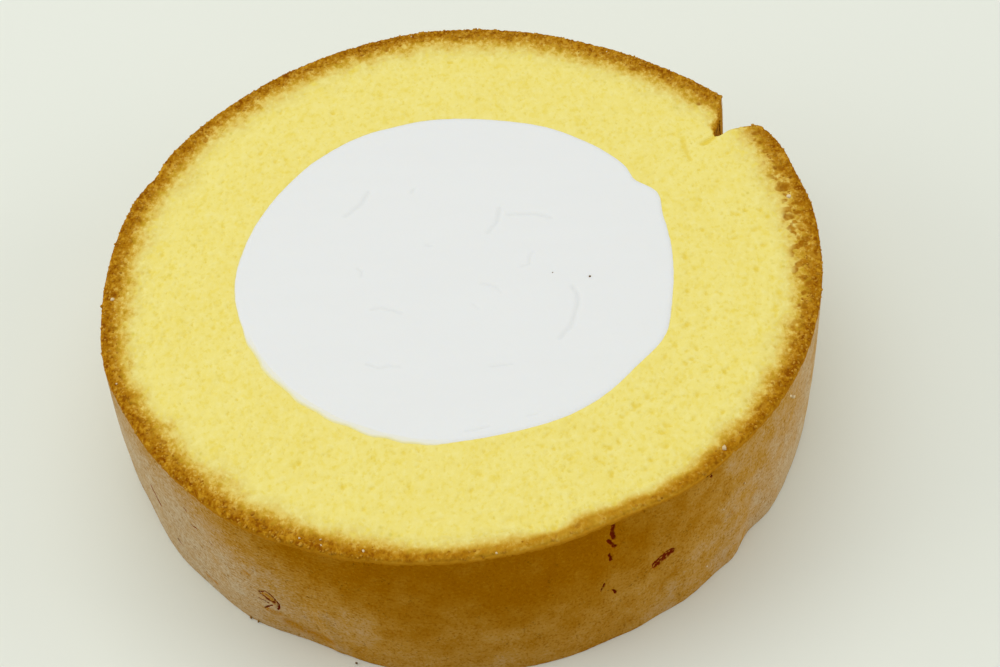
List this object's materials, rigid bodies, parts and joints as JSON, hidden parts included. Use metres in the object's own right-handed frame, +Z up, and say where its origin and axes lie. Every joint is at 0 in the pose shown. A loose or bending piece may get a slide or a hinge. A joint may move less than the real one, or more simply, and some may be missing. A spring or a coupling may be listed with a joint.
{
  "type": "swiss roll cake slice",
  "caption": "Thick slice of rolled sponge cake lying on its cut face: a sponge sheet wrapped once round a wide column of whipped cream, with an open seam.",
  "frame": {"origin": "centre of the lower cut face, on the surface that the slice lies on", "axes": "+Z up along the roll's axis; seen from -Y, the seam's notch is behind and to the right"},
  "size_m": [0.088, 0.0888, 0.022],
  "materials": {
    "sponge_crumb": "soft open yellow crumb with a matt browned skin",
    "whipped_cream": "smooth satin white"
  },
  "bodies": {
    "root": {"sponge": "sponge_crumb", "cream": "whipped_cream"}
  },
  "joints": []
}
